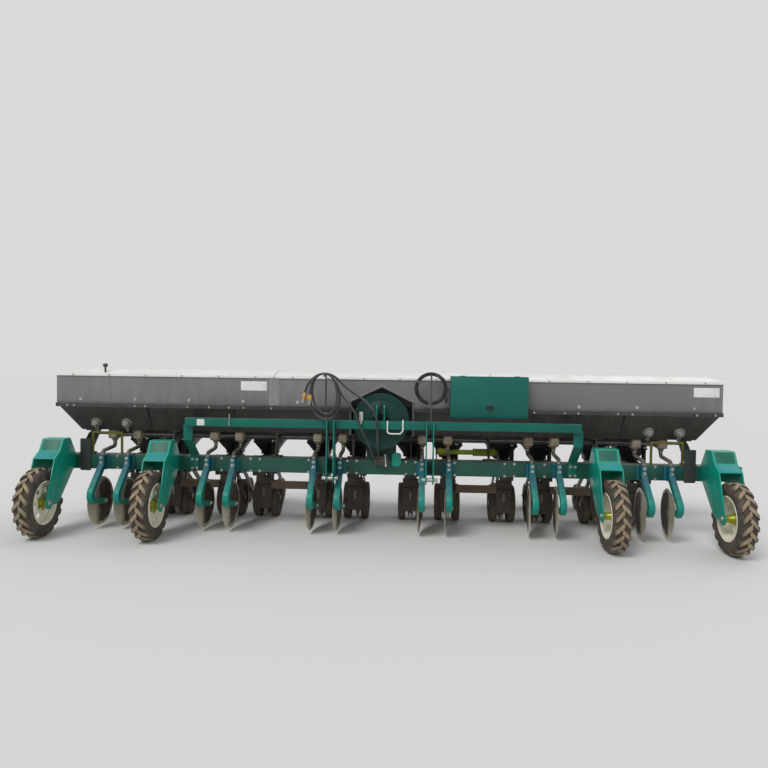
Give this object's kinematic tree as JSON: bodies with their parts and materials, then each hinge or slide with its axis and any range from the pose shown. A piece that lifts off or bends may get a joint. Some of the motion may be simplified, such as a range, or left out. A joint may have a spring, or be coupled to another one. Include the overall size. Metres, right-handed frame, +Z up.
{
  "type": "precision planter",
  "caption": "Tractor-mounted pneumatic precision planter with a full-width fertiliser hopper, disc openers, seed rows with gauge and press wheels, and ground wheels in forks.",
  "frame": {"origin": "on the ground in the middle of the machine, measured without the loose hoses", "axes": "+Z up, +X to the machine's left as it drives, -Y forwards to the tractor"},
  "size_m": [7.2, 2.33, 1.6583],
  "materials": {
    "green": "gloss enamel",
    "dark_green": "gloss enamel",
    "grey_sheet": "powder coat",
    "white_sheet": "powder coat",
    "dark_frame": "dusty enamel",
    "steel": "ground steel",
    "zinc": "zinc plated",
    "tyre": "dusty",
    "cream": "dusty enamel",
    "rubber": "matte",
    "black_plastic": "moulded",
    "beige_plastic": "moulded",
    "cap_plastic": "moulded"
  },
  "bodies": {
    "root": {"toolbar": "dark_green", "wheel_forks": "green", "hopper_supports": "dark_frame", "fertiliser_meters": "beige_plastic", "fertiliser_hoses": "rubber", "opener_arms": "green", "discs": "steel", "upper_frame": "green", "hitch_masts": "green", "fan_housing": "dark_green", "fittings": "zinc", "row_links": "dark_frame", "row_frames": "dark_frame", "seed_hoppers": "black_plastic", "seed_meters": "beige_plastic", "vacuum_line": "black_plastic", "tool_box": "green", "hopper_left": "grey_sheet", "hopper_centre": "grey_sheet", "hopper_right": "grey_sheet", "pressure_hose": "rubber", "return_hose": "rubber", "cable_coil": "rubber", "cord_ends": "cap_plastic"},
    "ground_wheel_1": {"tyre_1": "tyre", "rim_1": "cream"},
    "ground_wheel_2": {"tyre_2": "tyre", "rim_2": "cream"},
    "ground_wheel_3": {"tyre_3": "tyre", "rim_3": "cream"},
    "ground_wheel_4": {"tyre_4": "tyre", "rim_4": "cream"},
    "gauge_wheel_pair_01": {"gauge_wheels_01": "rubber"},
    "press_wheel_body_01": {"press_wheel_01": "rubber"},
    "gauge_wheel_pair_02": {"gauge_wheels_02": "rubber"},
    "press_wheel_body_02": {"press_wheel_02": "rubber"},
    "gauge_wheel_pair_03": {"gauge_wheels_03": "rubber"},
    "press_wheel_body_03": {"press_wheel_03": "rubber"},
    "gauge_wheel_pair_04": {"gauge_wheels_04": "rubber"},
    "press_wheel_body_04": {"press_wheel_04": "rubber"},
    "gauge_wheel_pair_05": {"gauge_wheels_05": "rubber"},
    "press_wheel_body_05": {"press_wheel_05": "rubber"},
    "gauge_wheel_pair_06": {"gauge_wheels_06": "rubber"},
    "press_wheel_body_06": {"press_wheel_06": "rubber"},
    "gauge_wheel_pair_07": {"gauge_wheels_07": "rubber"},
    "press_wheel_body_07": {"press_wheel_07": "rubber"},
    "gauge_wheel_pair_08": {"gauge_wheels_08": "rubber"},
    "press_wheel_body_08": {"press_wheel_08": "rubber"},
    "gauge_wheel_pair_09": {"gauge_wheels_09": "rubber"},
    "press_wheel_body_09": {"press_wheel_09": "rubber"},
    "gauge_wheel_pair_10": {"gauge_wheels_10": "rubber"},
    "press_wheel_body_10": {"press_wheel_10": "rubber"},
    "gauge_wheel_pair_11": {"gauge_wheels_11": "rubber"},
    "press_wheel_body_11": {"press_wheel_11": "rubber"},
    "gauge_wheel_pair_12": {"gauge_wheels_12": "rubber"},
    "press_wheel_body_12": {"press_wheel_12": "rubber"},
    "hopper_lid_left": {"lid_left": "white_sheet"},
    "hopper_lid_centre": {"lid_centre": "white_sheet"},
    "hopper_lid_right": {"lid_right": "white_sheet"},
    "box_door": {"tool_box_door": "green"}
  },
  "joints": [
    {"name": "ground_wheel_1_spin", "type": "hinge", "parent": "root", "child": "ground_wheel_1", "pos_m": [-3.3, -0.83, 0.335], "axis": [1, 0, 0], "continuous": true},
    {"name": "ground_wheel_2_spin", "type": "hinge", "parent": "root", "child": "ground_wheel_2", "pos_m": [-2.2, -0.83, 0.335], "axis": [1, 0, 0], "continuous": true},
    {"name": "ground_wheel_3_spin", "type": "hinge", "parent": "root", "child": "ground_wheel_3", "pos_m": [2.2, -0.83, 0.335], "axis": [1, 0, 0], "continuous": true},
    {"name": "ground_wheel_4_spin", "type": "hinge", "parent": "root", "child": "ground_wheel_4", "pos_m": [3.3, -0.83, 0.335], "axis": [1, 0, 0], "continuous": true},
    {"name": "gauge_wheel_pair_01_spin", "type": "hinge", "parent": "root", "child": "gauge_wheel_pair_01", "pos_m": [-2.7, 0.32, 0.2], "axis": [1, 0, 0], "continuous": true},
    {"name": "press_wheel_01_spin", "type": "hinge", "parent": "root", "child": "press_wheel_body_01", "pos_m": [-2.7, 1.015, 0.15], "axis": [1, 0, 0], "continuous": true},
    {"name": "gauge_wheel_pair_02_spin", "type": "hinge", "parent": "root", "child": "gauge_wheel_pair_02", "pos_m": [-2.3, 0.32, 0.2], "axis": [1, 0, 0], "continuous": true},
    {"name": "press_wheel_02_spin", "type": "hinge", "parent": "root", "child": "press_wheel_body_02", "pos_m": [-2.3, 1.015, 0.15], "axis": [1, 0, 0], "continuous": true},
    {"name": "gauge_wheel_pair_03_spin", "type": "hinge", "parent": "root", "child": "gauge_wheel_pair_03", "pos_m": [-1.7, 0.32, 0.2], "axis": [1, 0, 0], "continuous": true},
    {"name": "press_wheel_03_spin", "type": "hinge", "parent": "root", "child": "press_wheel_body_03", "pos_m": [-1.7, 1.015, 0.15], "axis": [1, 0, 0], "continuous": true},
    {"name": "gauge_wheel_pair_04_spin", "type": "hinge", "parent": "root", "child": "gauge_wheel_pair_04", "pos_m": [-1.3, 0.32, 0.2], "axis": [1, 0, 0], "continuous": true},
    {"name": "press_wheel_04_spin", "type": "hinge", "parent": "root", "child": "press_wheel_body_04", "pos_m": [-1.3, 1.015, 0.15], "axis": [1, 0, 0], "continuous": true},
    {"name": "gauge_wheel_pair_05_spin", "type": "hinge", "parent": "root", "child": "gauge_wheel_pair_05", "pos_m": [-0.7, 0.32, 0.2], "axis": [1, 0, 0], "continuous": true},
    {"name": "press_wheel_05_spin", "type": "hinge", "parent": "root", "child": "press_wheel_body_05", "pos_m": [-0.7, 1.015, 0.15], "axis": [1, 0, 0], "continuous": true},
    {"name": "gauge_wheel_pair_06_spin", "type": "hinge", "parent": "root", "child": "gauge_wheel_pair_06", "pos_m": [-0.3, 0.32, 0.2], "axis": [1, 0, 0], "continuous": true},
    {"name": "press_wheel_06_spin", "type": "hinge", "parent": "root", "child": "press_wheel_body_06", "pos_m": [-0.3, 1.015, 0.15], "axis": [1, 0, 0], "continuous": true},
    {"name": "gauge_wheel_pair_07_spin", "type": "hinge", "parent": "root", "child": "gauge_wheel_pair_07", "pos_m": [0.3, 0.32, 0.2], "axis": [1, 0, 0], "continuous": true},
    {"name": "press_wheel_07_spin", "type": "hinge", "parent": "root", "child": "press_wheel_body_07", "pos_m": [0.3, 1.015, 0.15], "axis": [1, 0, 0], "continuous": true},
    {"name": "gauge_wheel_pair_08_spin", "type": "hinge", "parent": "root", "child": "gauge_wheel_pair_08", "pos_m": [0.7, 0.32, 0.2], "axis": [1, 0, 0], "continuous": true},
    {"name": "press_wheel_08_spin", "type": "hinge", "parent": "root", "child": "press_wheel_body_08", "pos_m": [0.7, 1.015, 0.15], "axis": [1, 0, 0], "continuous": true},
    {"name": "gauge_wheel_pair_09_spin", "type": "hinge", "parent": "root", "child": "gauge_wheel_pair_09", "pos_m": [1.3, 0.32, 0.2], "axis": [1, 0, 0], "continuous": true},
    {"name": "press_wheel_09_spin", "type": "hinge", "parent": "root", "child": "press_wheel_body_09", "pos_m": [1.3, 1.015, 0.15], "axis": [1, 0, 0], "continuous": true},
    {"name": "gauge_wheel_pair_10_spin", "type": "hinge", "parent": "root", "child": "gauge_wheel_pair_10", "pos_m": [1.7, 0.32, 0.2], "axis": [1, 0, 0], "continuous": true},
    {"name": "press_wheel_10_spin", "type": "hinge", "parent": "root", "child": "press_wheel_body_10", "pos_m": [1.7, 1.015, 0.15], "axis": [1, 0, 0], "continuous": true},
    {"name": "gauge_wheel_pair_11_spin", "type": "hinge", "parent": "root", "child": "gauge_wheel_pair_11", "pos_m": [2.3, 0.32, 0.2], "axis": [1, 0, 0], "continuous": true},
    {"name": "press_wheel_11_spin", "type": "hinge", "parent": "root", "child": "press_wheel_body_11", "pos_m": [2.3, 1.015, 0.15], "axis": [1, 0, 0], "continuous": true},
    {"name": "gauge_wheel_pair_12_spin", "type": "hinge", "parent": "root", "child": "gauge_wheel_pair_12", "pos_m": [2.7, 0.32, 0.2], "axis": [1, 0, 0], "continuous": true},
    {"name": "press_wheel_12_spin", "type": "hinge", "parent": "root", "child": "press_wheel_body_12", "pos_m": [2.7, 1.015, 0.15], "axis": [1, 0, 0], "continuous": true},
    {"name": "hopper_lid_left_hinge", "type": "hinge", "parent": "root", "child": "hopper_lid_left", "pos_m": [0, 0.276, 1.5683], "axis": [-1, 0, 0], "range_deg": [0, 100]},
    {"name": "hopper_lid_centre_hinge", "type": "hinge", "parent": "root", "child": "hopper_lid_centre", "pos_m": [0, 0.276, 1.5683], "axis": [-1, 0, 0], "range_deg": [0, 100]},
    {"name": "hopper_lid_right_hinge", "type": "hinge", "parent": "root", "child": "hopper_lid_right", "pos_m": [0, 0.276, 1.5683], "axis": [-1, 0, 0], "range_deg": [0, 100]},
    {"name": "box_door_hinge", "type": "hinge", "parent": "root", "child": "box_door", "pos_m": [1.068, -0.477, 1.613], "axis": [-1, 0, 0], "range_deg": [0, 100]}
  ]
}
